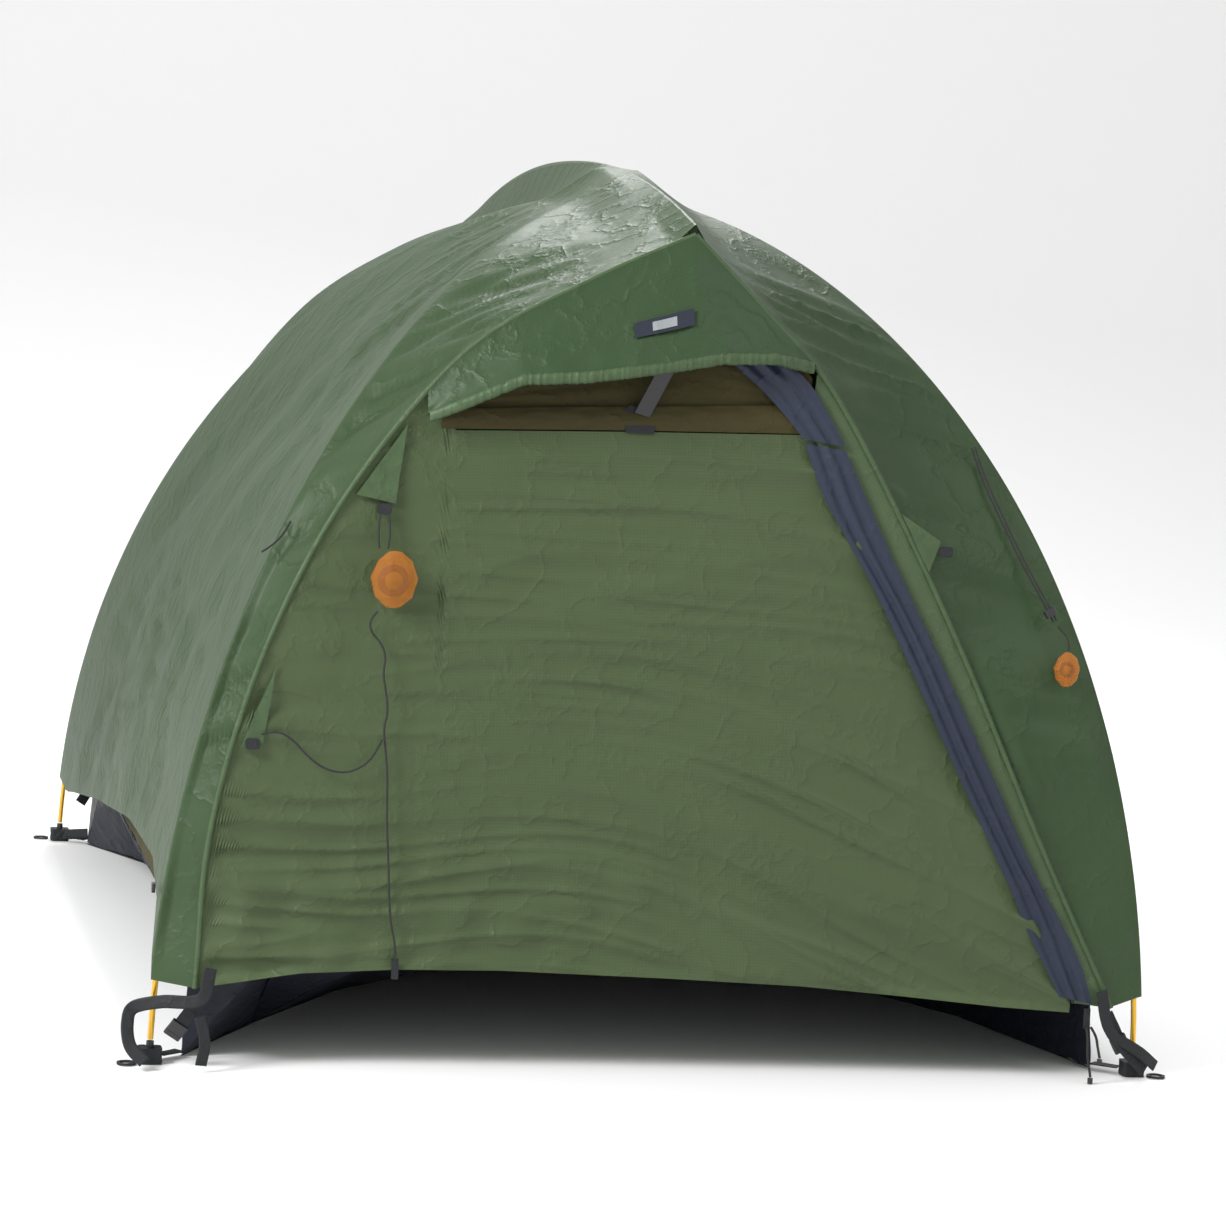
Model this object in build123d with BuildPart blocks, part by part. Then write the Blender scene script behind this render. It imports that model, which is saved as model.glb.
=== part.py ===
"""Two-person ridge-pole dome tent, pitched: poles, fly, hood, door, inner tent, straps and guylines.

Frame: +X to the right across the front, +Y to the back, +Z up; the origin is on the ground at the
centre of the groundsheet. Millimetres.
"""
from build123d import *

import math
import os

# ---------------------------------------------------------------- driving dimensions
FOOT_X = 740.0          # half the spacing of the pole feet across the front
FOOT_Y = 985.0          # half the spacing of the pole feet front to back
CROSS_Y = -343.0        # the crossing of the two main poles lies towards the door
CROSS_Z = 1263.0        # height of the crossing
POLE_D = 8.5            # aluminium pole
POLE_WALL = 0.7
FERRULE_D = 10.0
RIDGE_TOP = 1315.0      # highest point of the ridge pole's axis
BROW_Z = 1224.0         # the ridge pole's two ends
BROW_Y = 950.0
SKIN = 2.0              # sheet thickness used for every fabric solid
REAR_SADDLE = 30.0      # the fly sinks this far between the rear poles and the ridge
FLY_GAP = 16.0          # fly's inner face stands this far outside the pole axes
FRONT_FOOT_Y = 1037.0   # front plane meets the ground here
FRONT_LEAN = math.degrees(math.atan((FRONT_FOOT_Y - BROW_Y) / BROW_Z))
FLOOR_X = 690.0         # half size of the groundsheet
FLOOR_Y = 940.0
CORD_D = 3.0
WEB_W = 20.0            # webbing
WEB_T = 1.8

# Front arch seams, (x, z) on the front plane, from the hem corner up to the brow.
ARCH_LEFT = [(-684, 118), (-670, 350), (-604, 600), (-494, 830), (-330, 1040), (-150, 1152), (0, BROW_Z)]
ARCH_RIGHT = [(684, 112), (566, 345), (440, 610), (322, 833), (212, 1012), (116, 1112), (0, BROW_Z)]
ARCH_REAR = [(-684, 118), (-664, 350), (-590, 600), (-478, 830), (-322, 1040), (-150, 1160), (0, BROW_Z)]
# Height of the side hem above the ground, (y, z), from the front corner to the back corner.
SIDE_HEM = [(-985, 130), (-930, 235), (-750, 272), (-300, 258), (240, 205), (667, 150), (985, 100)]
# Door: hinge edge, top edge and the zip line, (x, z) on the front plane.
DOOR_HINGE_X = -362.0
DOOR_TOP = [(DOOR_HINGE_X, 926), (-70, 936), (166, 942)]
ZIP_LINE = [(186, 942), (250, 835), (312, 735), (376, 610), (440, 480), (536, 302), (588, 200), (624, 118)]
HEM_LINE = [(-684, 118), (-534, 142), (-392, 150), (-243, 151), (0, 144), (205, 136), (358, 124), (513, 110),
            (684, 100)]
HOOD_HEM = [(-388, 948), (-335, 973), (-254, 1012), (-164, 1020), (-52, 1038), (35, 1055), (119, 1058),
            (186, 1046)]
HOOD_PUSH = 62.0        # the strut holds the hood's hem this far out
FLAP_LEFT = [(174, 930), (208, 850), (283, 730), (350, 605), (430, 450), (510, 299), (546, 225), (600, 128)]
FLAP_RIGHT = [(236, 922), (312, 772), (402, 606), (480, 455), (560, 300), (632, 175), (652, 118)]

PARTS = "parts"
os.makedirs(PARTS, exist_ok=True)


# ---------------------------------------------------------------- helpers
def save(context, name):
    """Label a finished sub-part and write its STEP file."""
    context.part.label = name
    export_step(context.part, f"{PARTS}/{name}.step")


def lerp(a, b, t):
    return tuple(p + (q - p) * t for p, q in zip(a, b))


def smooth(t):
    t = min(1.0, max(0.0, t))
    return t * t * (3 - 2 * t)


def along(points, t):
    """Catmull-Rom point at t (0 to 1) through a short list of points, evenly spaced in t."""
    spans = len(points) - 1
    i = min(int(t * spans), spans - 1)
    f = t * spans - i
    p1, p2 = points[i], points[i + 1]
    p0 = points[i - 1] if i else tuple(2 * a - b for a, b in zip(p1, p2))
    p3 = points[i + 2] if i + 2 <= spans else tuple(2 * b - a for a, b in zip(p1, p2))
    return tuple(
        0.5 * (2 * b + (c - a) * f + (2 * a - 5 * b + 4 * c - d) * f * f + (3 * b - a - 3 * c + d) * f ** 3)
        for a, b, c, d in zip(p0, p1, p2, p3)
    )


def height_at(points, x):
    """Second coordinate of a polyline at first coordinate x."""
    for (x0, z0), (x1, z1) in zip(points, points[1:]):
        if x <= x1:
            return z0 + (z1 - z0) * (x - x0) / (x1 - x0)
    return points[-1][1]


def front_y(z, out=0.0):
    """y of the front plane at height z, moved outwards by out."""
    return -FRONT_FOOT_Y + (FRONT_FOOT_Y - BROW_Y) * z / BROW_Z - out


def pole_point(side, end, theta):
    """Axis of a main pole: side -1 left, +1 right; end -1 front, +1 back; theta 0 foot to 90 crossing."""
    t = math.cos(math.radians(theta)) ** 1.12
    z = CROSS_Z * math.sin(math.radians(theta)) ** 1.02
    return (side * t * FOOT_X, end * t * FOOT_Y + CROSS_Y * (1 - t * t), z)


def ridge_point(t):
    """Axis of the ridge pole, t from -1 (front brow) to 1 (rear brow)."""
    return (0.0, t * BROW_Y, RIDGE_TOP - (RIDGE_TOP - BROW_Z) * abs(t) ** 2.2)


def away(point, centre, distance):
    """Point moved away from centre by distance."""
    d = [p - c for p, c in zip(point, centre)]
    size = math.sqrt(sum(c * c for c in d))
    return tuple(p + c * distance / size for p, c in zip(point, d))


def fly_point(side, arch, u, v):
    """Fly side surface: u 0 front arch, 1 front pole, 2 rear pole, 3 rear arch; v 0 hem, 1 ridge."""
    theta = 6.0 + 84.0 * v
    lift = (RIDGE_TOP - CROSS_Z) * smooth((v - 0.88) / 0.12)
    centre = (0.0, 0.0, 350.0)
    posts = []
    x, z = along(arch, v)
    posts.append((x, front_y(z), z))
    for end in (-1, 1):
        p = away(pole_point(side, end, theta), centre, FLY_GAP)
        posts.append((p[0], p[1], p[2] + lift))
    x, z = along([(side * abs(a), b) for a, b in ARCH_REAR], v)
    posts.append((x, -front_y(z), z))
    i = min(int(u), 2)
    f = u - i
    p = lerp(posts[i], posts[i + 1], f)
    bow = 4 * f * (1 - f)
    if i == 1:
        return (p[0] - side * 26 * bow * max(0.0, math.sin(math.pi * v)) ** 0.8, p[1], p[2])
    if i == 0:
        return (p[0], p[1], p[2] + 10 * bow * smooth((v - 0.6) / 0.4))
    return (p[0], p[1], p[2] - REAR_SADDLE * bow * smooth((v - 0.45) / 0.35) * (1 - smooth((v - 0.93) / 0.07)))


def hem_v(y):
    """v of the side hem at a place along the side."""
    z = height_at(SIDE_HEM, y)
    return (math.degrees(math.asin(z / CROSS_Z)) - 6.0) / 84.0


def grid_normal(rows, i, j):
    """Unit normal of a grid of points at row i, column j."""
    last_i, last_j = len(rows) - 1, len(rows[0]) - 1
    along_i = Vector(*rows[min(i + 1, last_i)][j]) - Vector(*rows[max(i - 1, 0)][j])
    along_j = Vector(*rows[i][min(j + 1, last_j)]) - Vector(*rows[i][max(j - 1, 0)])
    return along_i.cross(along_j).normalized()


def triangles(grid):
    """Two triangles for each cell of a grid of points."""
    for near, far in zip(grid, grid[1:]):
        for j in range(len(near) - 1):
            yield near[j], near[j + 1], far[j + 1]
            yield near[j], far[j + 1], far[j]


def sheet(name, rows, amount):
    """Closed sheet of fabric through a grid of points, thickened by amount along the grid's normals."""
    inner = [[Vector(*p) for p in row] for row in rows]
    outer = [[p + grid_normal(rows, i, j) * amount for j, p in enumerate(row)] for i, row in enumerate(inner)]
    rims = [[inner[0], outer[0]], [inner[-1], outer[-1]],
            [[row[0] for row in inner], [row[0] for row in outer]],
            [[row[-1] for row in inner], [row[-1] for row in outer]]]
    faces = [Face(Wire.make_polygon(corners)) for grid in [inner, outer] + rims for corners in triangles(grid)]
    cloth = Solid(Shell(faces))
    with BuildPart() as part:
        add(cloth)
    save(part, name)


def flat(name, outline, out, thickness=SKIN, plane=None):
    """Flat sheet on the front plane (or plane), from out to out + thickness in front of it."""
    base = plane or FRONT
    with BuildPart() as part:
        with BuildSketch(base.offset(out)):
            with BuildLine():
                Polyline(*outline, close=True)
            make_face()
        extrude(amount=thickness)
    save(part, name)
    return part


def bar(start, end, width, thickness, x_dir=None):
    """Flat bar from start to end, inside the current part; x_dir is the direction of its width."""
    reach = Vector(*end) - Vector(*start)
    with BuildSketch(Plane(origin=start, x_dir=x_dir, z_dir=reach)) as section:
        Rectangle(width, thickness)
    extrude(section.sketch, amount=reach.length)


def arc_bar(points, outer, inner=0.0):
    """Round bar or tube along an arc through three points, inside the current part."""
    with BuildLine() as axis:
        ThreePointArc(*points)
    with BuildSketch(Plane(origin=axis.line @ 0, z_dir=axis.line % 0)) as section:
        Circle(outer)
        if inner:
            Circle(inner, mode=Mode.SUBTRACT)
    sweep(section.sketch, path=axis.line)


def turn_radii(points):
    """Arc radius at each inner point of a cord's route: 0.45 of the shorter run over tan(half the turn)."""
    radii = []
    for a, b, c in zip(points, points[1:], points[2:]):
        one = Vector(*b) - Vector(*a)
        two = Vector(*c) - Vector(*b)
        turn = math.radians(one.get_angle(two))
        radii.append(0.45 * min(one.length, two.length) / math.tan(turn / 2))
    return radii


def cord(name, points, diameter=CORD_D):
    """Cord as a tube of straight runs joined by tangent arcs."""
    radii = turn_radii(points)
    with BuildPart() as part:
        with BuildLine() as route:
            FilletPolyline(*points, radius=radii)
        path = route.wires()[0]
        with BuildSketch(Plane(origin=path @ 0, z_dir=path % 0)):
            Circle(diameter / 2)
        sweep(path=path)
    ideal = math.pi * diameter ** 2 / 4 * path.length
    print(f"{name}: length {path.length:.0f}, least radius {min(radii):.1f},"
          f" volume/ideal {part.part.volume / ideal:.4f}")
    save(part, name)


FRONT = Plane(origin=(0, -FRONT_FOOT_Y, 0), x_dir=(1, 0, 0),
              z_dir=(0, -math.cos(math.radians(FRONT_LEAN)), math.sin(math.radians(FRONT_LEAN))))
REAR = Plane(origin=(0, FRONT_FOOT_Y, 0), x_dir=(-1, 0, 0),
             z_dir=(0, math.cos(math.radians(FRONT_LEAN)), math.sin(math.radians(FRONT_LEAN))))


# ---------------------------------------------------------------- poles
POLE_SECTIONS = 7       # odd, so that no ferrule sits at the crossing
RIDGE_SECTIONS = 4
UNDER = 9.6             # pole b passes under pole a at the crossing
JOINT_GAP = 1.0         # half the gap between two sections, inside a ferrule
FERRULE_L = 36.0
SHOCK_D = 2.5


def whole_pole(first_end, under):
    """Function of s from 0 (left foot) to 1 (right foot) along a whole main pole."""
    def point(s):
        side, end = (-1, first_end) if s <= 0.5 else (1, -first_end)
        x, y, z = pole_point(side, end, 1.6 + 88.4 * (1 - abs(2 * s - 1)))
        return (x, y, z - under * (z / CROSS_Z) ** 8)
    return point


def ridge_pole(s):
    return ridge_point(0.988 * (2 * s - 1))


def pole_nodes(name, point, count):
    """Sections and ferrules of one pole; returns the sections' arcs for the shock cord inside."""
    trim = JOINT_GAP / 2500
    spans = [(i / count + trim, (i + 0.5) / count, (i + 1) / count - trim) for i in range(count)]
    with BuildPart() as tubes:
        for span in spans:
            arc_bar([point(s) for s in span], POLE_D / 2, POLE_D / 2 - POLE_WALL)
    save(tubes, f"{name}_sections")
    with BuildPart() as ferrules:
        for i in range(1, count):
            middle = Vector(*point(i / count))
            reach = (Vector(*point(i / count + 0.01)) - Vector(*point(i / count - 0.01))).normalized()
            with BuildSketch(Plane(origin=middle - reach * (FERRULE_L / 2), z_dir=reach)):
                Circle(FERRULE_D / 2 + 0.3)
                Circle(POLE_D / 2 + 0.35, mode=Mode.SUBTRACT)
            extrude(amount=FERRULE_L)
    save(ferrules, f"{name}_ferrules")
    return [[point(s) for s in span] for span in spans]


shock_runs = pole_nodes("pole_a", whole_pole(-1, 0.0), POLE_SECTIONS)
shock_runs += pole_nodes("pole_b", whole_pole(1, UNDER), POLE_SECTIONS)
shock_runs += pole_nodes("ridge_pole", ridge_pole, RIDGE_SECTIONS)
with BuildPart() as shock_cords:
    for span in shock_runs:
        arc_bar(span, SHOCK_D / 2)
save(shock_cords, "shock_cords")

CORNERS = [(side, end) for side in (-1, 1) for end in (-1, 1)]
TIP_D = 11.0
POCKET = (34.0, 30.0, 22.0)

with BuildPart() as pole_tips:
    for side, end in CORNERS:
        foot = Vector(*pole_point(side, end, 1.6))
        with BuildSketch(Plane(origin=foot - Vector(0, 0, 28), z_dir=(0, 0, 1))):
            Circle(TIP_D / 2)
        extrude(amount=27)
save(pole_tips, "pole_tips")

# Hub at the crossing: a strap of plastic round both main poles, with the ridge pole's saddle on top.
with BuildPart() as crossing_hub:
    with BuildSketch(Plane.XY.offset(CROSS_Z + 6.0)):
        with Locations((0, CROSS_Y)):
            RectangleRounded(34, 34, 8)
    extrude(amount=RIDGE_TOP - CROSS_Z - 22.0)
save(crossing_hub, "crossing_hub")

# Clips that hold the ridge pole's ends to the brows.
with BuildPart() as brow_cups:
    for end in (-1, 1):
        with BuildSketch(Plane(origin=(0, end * (BROW_Y - 9.5), BROW_Z), z_dir=(0, end, 0))):
            Circle(8)
        extrude(amount=4)
save(brow_cups, "brow_cups")

# ---------------------------------------------------------------- fly
U_STEPS = [0, 0.35, 0.7, 1, 1.06, 1.15, 1.3, 1.45, 1.6, 1.75, 1.9, 2, 2.3, 2.65, 3]
V_STEPS = 9
V_TOP = 0.965


def fly_rows(side, arch):
    rows = []
    for u in U_STEPS:
        y = -FOOT_Y + 2 * FOOT_Y * min(1, max(0, u - 1))
        low = hem_v(y) if 1 < u < 2 else 0.0
        rows.append([fly_point(side, arch, u, low + (V_TOP - low) * k / V_STEPS) for k in range(V_STEPS + 1)])
    return rows


sheet("fly_left_panel", fly_rows(-1, ARCH_LEFT), -SKIN)
sheet("fly_right_panel", fly_rows(1, ARCH_RIGHT), SKIN)

crown_rows = []
for u in U_STEPS:
    left = fly_point(-1, ARCH_LEFT, u, V_TOP)
    right = fly_point(1, ARCH_RIGHT, u, V_TOP)
    y = (left[1] + right[1]) / 2
    top = (0.0, y, ridge_point(y / BROW_Y)[2] + FLY_GAP)
    crown_rows.append([lerp(left, top, 0.04), lerp(left, top, 0.5), top, lerp(top, right, 0.5), lerp(right, top, 0.04)])
sheet("fly_crown", crown_rows, -SKIN)


def arch_points(arch, first, last, count=10):
    """Points along a front arch seam."""
    return [along(arch, first + (last - first) * i / count) for i in range(count + 1)]


REAR_EDGE = arch_points(ARCH_REAR, 0, 1)
REAR_OUTLINE = REAR_EDGE + [(-x, z) for x, z in reversed(REAR_EDGE[:-1])]
flat("fly_rear_panel", REAR_OUTLINE, 3, plane=REAR)

# Fixed part of the front, left of the door's fold line.
HINGE_GAP = 1.5
left_edge = arch_points(ARCH_LEFT, 0, 0.665)
flat("front_left_panel",
     left_edge + [(DOOR_HINGE_X - HINGE_GAP, 966), (DOOR_HINGE_X - HINGE_GAP, 150)] + HEM_LINE[2:0:-1], 3)

# Door: from the fold line to the zip.
hem_door = [p for p in HEM_LINE if DOOR_HINGE_X < p[0] < 600]
flat("door_panel",
     DOOR_TOP + [(x - 2.5, z) for x, z in ZIP_LINE] + hem_door[::-1] + [(DOOR_HINGE_X, 150)], 3)

# Zip: coil, its tape on the fixed side, and the slider with its pull.
zip_right = [(x + 2.5, z) for x, z in ZIP_LINE]
flat("zip_coil", [(x - 1.2, z) for x, z in ZIP_LINE] + [(x + 1.2, z) for x, z in ZIP_LINE[::-1]], 3, 2.4)
flat("zip_tape", [(x + 2.7, z) for x, z in ZIP_LINE] + [(x + 16, z + 4) for x, z in ZIP_LINE[::-1]], 5.2, 1.2)
strip_edge = arch_points(ARCH_RIGHT, 0, 0.70)
flat("front_right_strip", zip_right + strip_edge + [(190, 1030)], 3)

# Band and mesh of the vent under the hood, behind the hood's lip.
flat("vent_band", [(DOOR_HINGE_X, 928), (-70, 938), (184, 944), (184, 986), (-70, 973), (DOOR_HINGE_X, 957)], 3)
flat("vent_mesh",
     [(-360, 958), (-70, 974), (184, 987), (170, 1040), (110, 1092), (0, 1150), (-140, 1130), (-300, 1035)],
     -1.5, 1.2)

flat("storm_flap", FLAP_LEFT + FLAP_RIGHT[::-1], 9.5)
flat("storm_flap_top", [(41, 1040), (96, 1014), (136, 972), (170, 934), (236, 926), (200, 985), (150, 1036)], 9.5)


# ---------------------------------------------------------------- hood
LEFT_TOP = [(x, z) for x, z in arch_points(ARCH_LEFT, 0, 1, 30)]
RIGHT_TOP = [(x, z) for x, z in arch_points(ARCH_RIGHT, 1, 0, 30)]
HOOD_X = [-378, -330, -270, -200, -130, -60, 0, 50, 95, 130, 160]


def hood_point(x, w, out=0.0):
    """Hood surface: w 0 at the arch seams, 1 at the lower hem, over 1 below the hem."""
    top = height_at(LEFT_TOP if x <= 0 else RIGHT_TOP, x)
    low = height_at(HOOD_HEM, x)
    z = top + (low - top) * w
    reach = math.sin(math.pi * (x + 388) / (388 + 176)) ** 0.6
    return (x, front_y(z, 8.0 + out + HOOD_PUSH * reach * max(0.0, w) ** 1.4), z)


sheet("hood", [[hood_point(x, w / 6) for w in range(7)] for x in HOOD_X], SKIN)
hem_rows = []
for x in HOOD_X:
    edge = hood_point(x, 1.0, 1.0)
    hem_rows.append([(edge[0], edge[1] - 1.2 - 0.5 * k, edge[2] - 1.6 - 4.5 * k) for k in range(4)])
sheet("hood_hem", hem_rows, SKIN)
LABEL_X = (-94, -72, -50, -28, -6)
sheet("label", [[hood_point(x, w, 7.0) for w in (0.6, 0.66, 0.72)] for x in LABEL_X], 1.2)

# Strut that props the hood's lip off the vent band.
STRUT_TOP = (-46.0, front_y(1030, 52), 1030.0)
STRUT_LOW = (-70.0, front_y(962, 10), 962.0)
with BuildPart() as vent_strut:
    bar(STRUT_TOP, STRUT_LOW, 24, 3, x_dir=(1, 0, 0))
save(vent_strut, "vent_strut")
flat("strut_patch", [(-92, 936), (-50, 936), (-46, 968), (-54, 976), (-88, 976), (-96, 966)], 5.2, 1.2)

# ---------------------------------------------------------------- guy tabs, hem tab
TABS = [[(-411, 934), (-481, 831), (-424, 820)], [(-585, 585), (-633, 465), (-601, 469)],
        [(326, 836), (388, 797), (372, 750)]]
TIPS = [(-440, 812), (-616, 470), (396, 782)]
with BuildPart() as guy_tabs:
    for outline in TABS:
        with BuildSketch(FRONT.offset(6)):
            with BuildLine():
                Polyline(*outline, close=True)
            make_face()
        extrude(amount=1.5)
save(guy_tabs, "guy_tabs")
with BuildPart() as guy_tab_tips:
    with BuildSketch(FRONT.offset(8)):
        with Locations(*TIPS):
            RectangleRounded(20, 16, 5)
    extrude(amount=3)
save(guy_tab_tips, "guy_tab_tips")
with BuildPart() as hem_tab:
    with BuildSketch(FRONT.offset(6)):
        with Locations((-398, 152), (646, 96)):
            Rectangle(10, 30)
    extrude(amount=2)
save(hem_tab, "hem_tab")

# ---------------------------------------------------------------- corners
with BuildPart() as pole_pockets:
    for side, end in CORNERS:
        foot = pole_point(side, end, 1.6)
        with BuildSketch(Plane.XY.offset(0.6)):
            with Locations((foot[0], foot[1])):
                RectangleRounded(POCKET[0], POCKET[1], 6)
        extrude(amount=POCKET[2])
        with BuildSketch(Plane.XY.offset(3.0)):
            with Locations((foot[0], foot[1])):
                Circle(TIP_D / 2 + 0.4)
        extrude(amount=POCKET[2], mode=Mode.SUBTRACT)
save(pole_pockets, "pole_pockets")

with BuildPart() as floor_straps:
    for side, end in CORNERS:
        foot = pole_point(side, end, 1.6)
        start = (side * (FLOOR_X + 2), end * (FLOOR_Y + 2), 9.0)
        bar(start, (foot[0] - side * 15, foot[1] - end * 15, 9.0), WEB_W, WEB_T,
            x_dir=(-end * 1.0, side * 1.0, 0))
save(floor_straps, "floor_straps")

FLY_CORNER = (676.0, 1038.0, 104.0)
STRAP_END = (700.0, 1023.0, 66.0)
with BuildPart() as fly_straps:
    for side, end in CORNERS:
        bar((side * FLY_CORNER[0], end * FLY_CORNER[1], FLY_CORNER[2]),
            (side * STRAP_END[0], end * STRAP_END[1], STRAP_END[2]), WEB_W, WEB_T)
save(fly_straps, "fly_straps")


def buckle_plane(side, back):
    """Plane at a front corner's buckle, its normal along the strap towards the pole's foot."""
    low = Vector(side * STRAP_END[0], -STRAP_END[1], STRAP_END[2])
    high = Vector(side * FLY_CORNER[0], -FLY_CORNER[1], FLY_CORNER[2])
    run = (low - high).normalized()
    return Plane(origin=low + run * back, z_dir=run)


BUCKLE = (26.0, 9.0, 17.0)      # width, thickness, length of each half
with BuildPart() as buckle_sockets:
    for side in (-1, 1):
        with BuildSketch(buckle_plane(side, 1.0)):
            RectangleRounded(BUCKLE[0], BUCKLE[1], 3)
        extrude(amount=BUCKLE[2])
        with BuildSketch(buckle_plane(side, 5.0)):
            Rectangle(BUCKLE[0] - 6, BUCKLE[1] - 4)
        extrude(amount=BUCKLE[2], mode=Mode.SUBTRACT)
save(buckle_sockets, "buckle_sockets")
for side, word in ((-1, "left"), (1, "right")):
    with BuildPart() as plug:
        with BuildSketch(buckle_plane(side, BUCKLE[2] + 1.5)):
            RectangleRounded(BUCKLE[0], BUCKLE[1], 3)
        extrude(amount=7)
        with BuildSketch(buckle_plane(side, 8.0)):
            Rectangle(BUCKLE[0] - 8, BUCKLE[1] - 5)
        extrude(amount=BUCKLE[2] - 6)
    save(plug, f"buckle_plug_{word}")

with BuildPart() as peg_loops:
    for side, end in CORNERS:
        foot = pole_point(side, end, 1.6)
        with BuildSketch(Plane.XY.offset(0.6)):
            with Locations((foot[0] + side * 34, foot[1] + end * 14)):
                Circle(14)
                Circle(10, mode=Mode.SUBTRACT)
        extrude(amount=3)
save(peg_loops, "peg_loops")

# ---------------------------------------------------------------- inner tent
INNER_GAP = 50.0
INNER_DROP = 25.0
INNER_LEVELS = (7.6, 22, 36, 50, 62, 72)


def inner_rectangle(theta, inset):
    """Centre y, half width, half depth and height of the inner tent at a pole angle."""
    x, y_back, z = pole_point(1, 1, theta)
    y_front = pole_point(1, -1, theta)[1]
    return ((y_back + y_front) / 2, x - INNER_GAP - inset, (y_back - y_front) / 2 - INNER_GAP - inset,
            z - (0 if theta < 10 else INNER_DROP))


PANEL_GAP = 2.5         # each panel is drawn in by this much, so that panels never share space
DOOR_X = 330.0          # half width of the inner doorway
DOOR_SILL = 230.0


def inner_panel(corners):
    """Flat convex panel of the inner tent, SKIN thick, from its corners, inside the current part."""
    middle = sum((Vector(*c) for c in corners), Vector(0, 0, 0)) / len(corners)
    face = [Vector(*c) + (middle - Vector(*c)).normalized() * PANEL_GAP for c in corners]
    normal = (face[1] - face[0]).cross(face[-1] - face[0]).normalized()
    if normal.dot(Vector(0, 0, 400) - middle) < 0:
        normal = -normal
    add(extrude(Face(Wire.make_polygon(face)), amount=SKIN, dir=normal))


def inner_ring(theta):
    """Corners of the inner tent at a pole angle: front left, front right, back right, back left."""
    y, half_x, half_y, z = inner_rectangle(theta, 0)
    return [(-half_x, y - half_y, z), (half_x, y - half_y, z), (half_x, y + half_y, z), (-half_x, y + half_y, z)]


def front_panels(low, high):
    """Corner lists of the inner front wall between two rings, leaving the doorway open."""
    (a, b), (c, d) = low[:2], high[:2]

    def cut(x, z):
        t = (z - a[2]) / (d[2] - a[2])
        return (x, a[1] + (c[1] - a[1]) * t, z)
    sill = max(a[2], DOOR_SILL)
    share = (sill - a[2]) / (c[2] - a[2])
    left, right = lerp(a, c, share), lerp(b, d, share)
    found = [[left, cut(-DOOR_X, sill), cut(-DOOR_X, c[2]), c], [cut(DOOR_X, sill), right, d, cut(DOOR_X, c[2])]]
    if sill > a[2]:
        found.append([a, b, right, left])
    return found


inner_rings = [inner_ring(theta) for theta in INNER_LEVELS]
with BuildPart() as inner_canopy:
    for level, (low, high) in enumerate(zip(inner_rings, inner_rings[1:])):
        for k in (1, 2, 3):
            inner_panel([low[k], low[(k + 1) % 4], high[(k + 1) % 4], high[k]])
        for corners in (front_panels(low, high) if level < 2 else [[low[0], low[1], high[1], high[0]]]):
            inner_panel(corners)
    inner_panel(inner_rings[-1])
save(inner_canopy, "inner_canopy")

# Floor outline, counter-clockwise from the front left corner: pulled out at the corners, bowed in between.
FLOOR_OUTLINE = [(-690, -940), (-560, -700), (-400, -440), (-240, -270), (0, -200), (250, -200), (450, -300),
                 (590, -560), (690, -940), (630, -600), (600, 0), (630, 600), (690, 940), (400, 900), (0, 885),
                 (-400, 900), (-690, 940), (-600, 740), (-550, 450), (-540, 0), (-565, -450), (-615, -740)]
tub_top = inner_rectangle(INNER_LEVELS[0], 0)


def tub_rim(point):
    """Place on the tub's straight upper edge above a point of the floor outline."""
    x, y = point
    half_x, half_y = tub_top[1], tub_top[2]
    side, end = x / FLOOR_X, y / FLOOR_Y
    index = FLOOR_OUTLINE.index(point)
    if index <= 8:
        return (side * half_x, tub_top[0] - half_y)
    if index <= 12:
        return (half_x, tub_top[0] + end * half_y)
    if index <= 16:
        return (side * half_x, tub_top[0] + half_y)
    return (-half_x, tub_top[0] + end * half_y)


with BuildPart() as bathtub_walls:
    for this, after in zip(FLOOR_OUTLINE, FLOOR_OUTLINE[1:] + FLOOR_OUTLINE[:1]):
        low_a, low_b = (*this, SKIN + 1.0), (*after, SKIN + 1.0)
        top_a, top_b = (*tub_rim(this), tub_top[3] - 4), (*tub_rim(after), tub_top[3] - 4)
        inner_panel([low_a, low_b, top_b])
        inner_panel([low_a, top_b, top_a])
save(bathtub_walls, "bathtub_walls")

with BuildPart() as groundsheet:
    with BuildSketch():
        with BuildLine():
            Polyline(*FLOOR_OUTLINE, close=True)
        make_face()
    extrude(amount=SKIN)
save(groundsheet, "groundsheet")

ROLL_X = -356.0
with BuildPart() as inner_door_roll:
    with BuildSketch(Plane(origin=(ROLL_X, -962, 260), z_dir=(0, 0.148, 1))):
        Circle(17)
    extrude(amount=520)
save(inner_door_roll, "inner_door_roll")

with BuildPart() as inner_hooks:
    for side, end in CORNERS:
        for theta in (22, 36, 50, 62, 72):
            x, y, z = pole_point(side, end, theta)
            y_mid, half_x, half_y, level = inner_rectangle(theta, 0)
            corner = (side * (half_x + 2), y_mid + end * (half_y + 2), level)
            pole = Vector(x, y, z)
            reach = (Vector(*corner) - pole).normalized()
            bar(pole + reach * 19, corner, 8, 3)
save(inner_hooks, "inner_hooks")

# ---------------------------------------------------------------- zip slider
SLIDER = (600.0, 168.0)
with BuildPart() as zip_slider:
    with BuildSketch(FRONT.offset(6.6)):
        with Locations(SLIDER):
            RectangleRounded(9, 13, 2.5)
    extrude(amount=2.2)
save(zip_slider, "zip_slider")

with BuildPart() as side_hooks:
    for side in (-1, 1):
        with BuildSketch(Plane(origin=(side * 738, -935, 246), z_dir=(side, 0, 0))):
            RectangleRounded(14, 18, 4)
        extrude(amount=5)
save(side_hooks, "side_hooks")

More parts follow.
